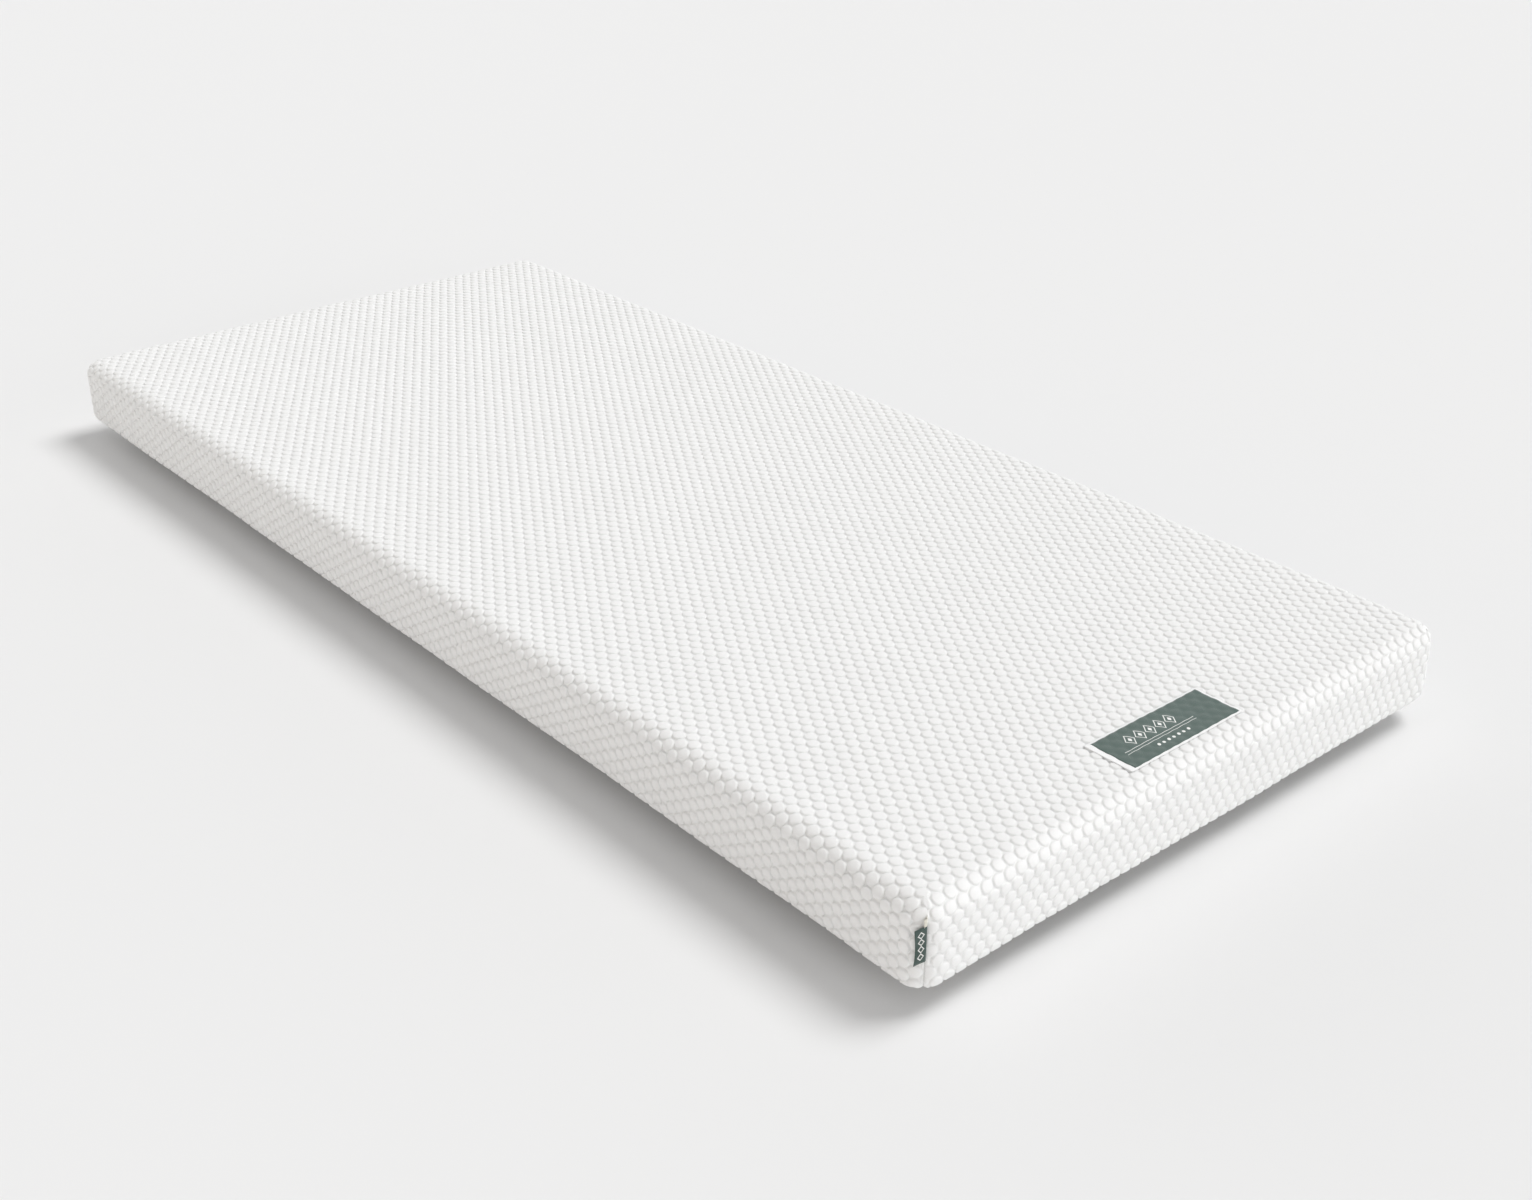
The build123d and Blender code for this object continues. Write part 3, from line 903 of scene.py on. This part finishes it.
def folded_ribbon(name, bottom, height, reach, gap, drop, wave, leaf):
    """A doubled ribbon that leans round the near corner, and its length, unfolded."""
    middle = ribbon_path(reach)
    loop = np.linspace(math.pi / 2, -math.pi / 2, 7)[1:-1]
    tip = middle[-1]
    path = [(m[0] + m[2] * gap, m[1] - m[3] * gap) for m in middle]
    path += [(tip[0] + gap * math.sin(a), tip[1] + gap * math.cos(a)) for a in loop]
    path += [(m[0] - m[2] * gap, m[1] + m[3] * gap) for m in middle[::-1]]
    path = np.array(path)
    run = run_along(path)
    outward = -np.array([math.cos(SEAM_TURN), math.sin(SEAM_TURN)])
    lean = SEAM_TURN + TAB_LEAN - math.pi / 2
    along = -np.array([math.cos(lean), math.sin(lean)])
    root = -np.array([AXIS_X, AXIS_Y]) + outward * (CORNER_RADIUS + 0.3 * MM)
    levels = np.linspace(0, 1, RIBBON_ROWS)
    far = np.clip(path[:, 1] / reach, 0, 1.1)
    points = []
    for level in levels:
        sway = wave * math.sin(TURN * (1.35 * level + 0.1)) * far ** 1.5
        curl = 1 + 0.07 * math.sin(TURN * (0.9 * level + 0.35))
        plan = root + (path[:, :1] + sway[:, None]) * outward + path[:, 1:] * curl * along
        z = bottom + level * height - drop * far ** 1.3
        points.append(np.column_stack([plan, z]))
    *flat, corners = woven_grid(run, levels * height)
    ribbon = cloth_piece(name, np.concatenate(points), corners[:, ::-1], np.stack(flat, -1))
    thicken(ribbon, leaf)
    return ribbon, run[-1]


tab, tab_run = folded_ribbon(
    "side_tab_ribbon", TAB_BOTTOM, TAB_HEIGHT, TAB_REACH, TAB_GAP, TAB_DROP, TAB_WAVE, TAB_LEAF
)
selvedge, selvedge_run = folded_ribbon(
    "seam_selvedge", SELVEDGE_BOTTOM, SELVEDGE_HEIGHT, SELVEDGE_REACH, SELVEDGE_GAP,
    SELVEDGE_DROP, SELVEDGE_WAVE, SELVEDGE_LEAF,
)
print("side tab", round(tab_run / MM, 1), "mm of ribbon")

# %% Side tab finish
TAB_GREEN = (0.062, 0.097, 0.086)
LOZENGE_PITCH, LOZENGE_HALF = 8.6 * MM, 2.9 * MM
LOZENGE_MIDDLE = 3 * MM + TAB_REACH * 0.62


def tab_finish():
    """Woven ribbon with a column of small lozenges up its outer face."""
    finish = Finish("tab_weave", roughness=0.6, sheen_weight=0.2, specular_ior_level=0.3)
    place, u, v = finish.cloth_axes()
    centred = v - TAB_HEIGHT / 2 + LOZENGE_PITCH / 2
    lozenge = (u - LOZENGE_MIDDLE).math("ABSOLUTE")
    lozenge = lozenge + repeat(centred, LOZENGE_PITCH).math("ABSOLUTE") * 0.8
    mark = stroke(lozenge - LOZENGE_HALF, 0.65 * MM)
    mark = mark * within(centred, -1.5 * LOZENGE_PITCH, 2.5 * LOZENGE_PITCH)
    weave = twill(finish, place, v, u)
    return figured(finish, weave, mark, TAB_GREEN, (0.75, 0.7), 1.0)


tab_weave = tab_finish()
selvedge_weave = weave_finish("selvedge_weave", (0.84, 0.82, 0.74), (0.62, 0.6, 0.5), 0.5 * MM)
dress(tab, tab_weave, "side_tab")
dress(selvedge, selvedge_weave)
print("side tab dressed")

# %% [markdown]
# The zip runs along the right long side, inside the slit. Its two tapes are narrow herringbone
# ribbons in their packed places, and sway a little. Behind each lip of the slit a row of lock
# stitches holds the tape to the knit. One stitch is modelled, and an array repeats it.

# %% Zip tapes
TAPE_SWAY, TAPE_SWAY_PITCH = 0.12 * MM, 90 * MM


def herringbone():
    """Woven tape: slanting ribs that turn back every few millimetres."""
    finish = Finish("zip_tape", roughness=0.75, sheen_weight=0.12)
    place, along, across = finish.cloth_axes()
    slant = repeat(across, 4.4 * MM).math("ABSOLUTE")
    ribs = (along + slant).wave(0.9 * MM)
    tone = ribs * 0.6 + finish.grain(place, 1800.0) * 0.4
    colour = tone.smooth(0.1, 0.9).blend((0.64, 0.64, 0.63), (0.84, 0.84, 0.83))
    return finish.set(base_color=colour, relief=tone, depth=0.2 * MM)


tape_weave = herringbone()
for half in ("upper", "lower"):
    low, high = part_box(f"zip_tape_{half}")
    y, z, corners = woven_grid(span(low.y, high.y, 8 * MM), span(low.z, high.z, 2.2 * MM))
    x = high.x + TAPE_SWAY * np.sin(TURN * y / TAPE_SWAY_PITCH)
    flat = np.stack([y, z - (low.z + high.z) / 2], -1)
    tape = cloth_piece(f"zip_tape_cloth.{half}", np.stack([x, y, z], -1), corners, flat)
    thicken(tape, high.x - low.x)
    dress(tape, tape_weave, f"zip_tape_{half}")
print("zip tapes laid")

# %% Lip stitches
def stitch_finish():
    """Plied thread: one slanting twist after another along the zip."""
    finish = Finish("lip_thread", roughness=0.7, sheen_weight=0.15)
    _, y, z = finish.object_place().split()
    twist = (y + z * 0.6).wave(0.8 * MM)
    colour = twist.blend((0.72, 0.72, 0.71), (0.86, 0.86, 0.85))
    return finish.set(base_color=colour, relief=twist, depth=0.05 * MM)


lip_thread = stitch_finish()
STITCH_SIZE = (0.9 * MM, 3.0 * MM, 0.8 * MM)
STITCH_PITCH = 4.2 * MM
STITCH_PAST_LIP = 3.0 * MM
STITCH_SUNK = 0.35 * MM
stitch_count = int(2 * (SLIT_END - 4 * MM) / STITCH_PITCH)
for half, sign in (("upper", 1), ("lower", -1)):
    level = ZIP_HEIGHT + sign * (SLIT_HALF + STITCH_PAST_LIP)
    start = -stitch_count * STITCH_PITCH / 2 + STITCH_PITCH / 2
    bpy.ops.mesh.primitive_uv_sphere_add(
        segments=6, ring_count=5, radius=0.5, location=(WIDTH / 2 - STITCH_SUNK, start, level)
    )
    row = bpy.context.object
    row.name = f"lip_stitches.{half}"
    row.scale = STITCH_SIZE
    bpy.ops.object.transform_apply(location=True, rotation=True, scale=True)
    modified(
        row, "ARRAY", count=stitch_count, use_relative_offset=False,
        use_constant_offset=True, constant_offset_displace=(0, STITCH_PITCH, 0),
    )
    bpy.ops.object.shade_smooth()
    dress(row, lip_thread)
print("lip stitches", stitch_count, "a row")

# %% [markdown]
# Inside the cover are two foam layers and a thin stockinette sock. The foam is cut as plain
# slabs with slightly softened edges. The sock is one thin closed skin round both, with slow
# slack in it. They are modelled as soft pieces too, because the cover comes off. Each is two
# caps of cloth joined by rings.

# %% Foam core and sock
CORE_STEP = 24 * MM
CUT_EDGE = 1 * MM
SOCK_THICK = 0.6 * MM
CORE_SLACK = 0.35


def soft_slab(name, low, high, corner, edges, slack):
    """A closed slab with rounded corners, and a radius for its top and its bottom edge. The
    cloth's swells, times slack, move its top and its sides."""
    widest, depth = max(edges), high.z - low.z
    half, inner = (high.x - widest, high.y - widest), corner - widest
    xs, ys = (graded(side, CORE_STEP, inner) for side in half)
    x, y, cap = woven_grid(xs, ys)
    x, y = rounded_in(x, y, *half, inner)
    index = np.arange(len(x)).reshape(-1, len(xs))
    rim = np.concatenate([index[0], index[1:, -1], index[-1, -2::-1], index[-2:0:-1, 0]])
    plan = np.column_stack([x, y])[rim]
    outward = plan - np.clip(plan, [inner - h for h in half], [h - inner for h in half])
    outward /= np.linalg.norm(outward, axis=1)[:, None]
    turns = np.linspace(0, math.pi / 2, 6)
    bends = [
        [(widest - r + r * math.sin(a), r * (1 - math.cos(a))) for a in turns] for r in edges
    ]
    steps = bends[0] + [(widest, d) for d in np.linspace(edges[0], depth - edges[1], 5)[1:-1]]
    steps += [(out, depth - rise) for out, rise in bends[1][::-1]]
    lift, belly = slack * swell(x, y), slack * swell(2 * plan[:, 0] + 3, 2 * plan[:, 1])
    rings = [
        np.column_stack([
            plan + outward * (out + belly * math.sin(math.pi * drop / depth))[:, None],
            high.z - drop + lift[rim] * (1 - drop / depth),
        ])
        for out, drop in steps if out > 1e-6
    ]
    top, bottom = np.column_stack([x, y, high.z + lift]), np.column_stack([x, y, low.z + 0 * x])
    points = np.concatenate([top, bottom] + rings)
    loops = [2 * len(top) + k * len(rim) + np.arange(len(rim)) for k in range(len(rings))]
    sides = joined([rim] + loops + [len(top) + rim])
    corners = np.concatenate([cap, cap[:, ::-1] + len(top), sides])
    return cloth_piece(name, points, corners, points[:, :2] + points[:, 2:])


def foam_finish(name, light, dark, cell):
    """Open-cell foam: fine pores under a soft, slightly yellowed skin."""
    finish = Finish(name, roughness=0.95, specular_ior_level=0.15)
    place = finish.object_place()
    pores = finish.any.node("TexVoronoi", {"Vector": place, "Scale": 1 / cell})
    tone = pores * 0.7 + finish.grain(place, 12.0) * 0.4
    return finish.set(
        base_color=tone.smooth(0.1, 0.8).blend(dark, light), relief=pores, depth=0.4 * MM
    )


def sock_finish():
    """Thin stockinette: fine ribs, in slanting rows."""
    finish = Finish("sock_knit", roughness=0.85, sheen_weight=0.15)
    place = finish.object_place()
    x, y, _ = place.split()
    ribs = (x + y).wave(1.6 * MM) * 0.7 + finish.grain(place, 900.0) * 0.4
    colour = ribs.smooth(0.1, 0.9).blend((0.62, 0.62, 0.60), (0.82, 0.82, 0.80))
    return finish.set(base_color=colour, relief=ribs, depth=0.25 * MM)


core_finishes = {
    "memory_foam": foam_finish("memory_foam", (0.84, 0.81, 0.70), (0.7, 0.66, 0.52), 1.1 * MM),
    "base_foam": foam_finish("base_foam", (0.80, 0.81, 0.82), (0.62, 0.64, 0.66), 1.6 * MM),
    "sock_knit": sock_finish(),
}
for node, slot, edges, slack in (
    ("memory_foam_layer", "memory_foam", (20 * MM, CUT_EDGE), CORE_SLACK),
    ("base_foam_layer", "base_foam", (CUT_EDGE, 15 * MM), 0.0),
    ("inner_sock", "sock_knit", (21 * MM, 16 * MM), CORE_SLACK),
):
    low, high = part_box(node)
    core_piece = soft_slab(
        f"{node}.soft", low, high, CORNER_RADIUS - (WIDTH / 2 - high.x), edges, slack
    )
    dress(core_piece, core_finishes[slot], node)
    if slot == "sock_knit":
        thicken(core_piece, SOCK_THICK)

# %% [markdown]
# The teeth and the bottom stop are moulded nylon. The slider, its pull and the top stops are
# die-cast metal with a pale lacquer. Their imported shapes are right, so they only get their
# finishes.

# %% Finishes of the imported pieces
def moulded(colour):
    """Nylon with a faint flow of the mould and a soft gloss."""
    finish = Finish("zip_nylon", roughness=0.42, specular_ior_level=0.5)
    place = finish.object_place()
    flow = finish.grain(place, 260.0, 3.0)
    return finish.set(
        base_color=flow.blend([c * 0.86 for c in colour], colour),
        roughness=flow * 0.2 + 0.32, relief=flow, depth=0.06 * MM,
    )


def lacquered(colour, metal):
    """Die-cast metal under thin lacquer, which is rubbed through in small spots."""
    finish = Finish("zip_metal", roughness=0.35, coat_weight=0.3, coat_roughness=0.15)
    place = finish.object_place()
    rubbed = finish.grain(place, 420.0, 4.0, 0.65).smooth(0.62, 0.70)
    orange_peel = finish.grain(place, 1400.0)
    return finish.set(
        base_color=rubbed.blend(colour, metal), metallic=rubbed,
        roughness=orange_peel * 0.15 + 0.28, relief=orange_peel, depth=0.03 * MM,
    )


nylon = moulded((0.83, 0.83, 0.82))
slider_metal = lacquered((0.78, 0.78, 0.77), (0.62, 0.62, 0.63))
finishes = {
    "zip_teeth_upper": nylon, "zip_teeth_lower": nylon, "zip_bottom_stop": nylon,
    "zip_top_stops": slider_metal, "zip_slider": slider_metal, "zip_pull": slider_metal,
}
for node, material in finishes.items():
    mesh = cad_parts[node].data
    mesh.materials.clear()
    mesh.materials.append(material)
print("finished", len(finishes), "packed pieces")
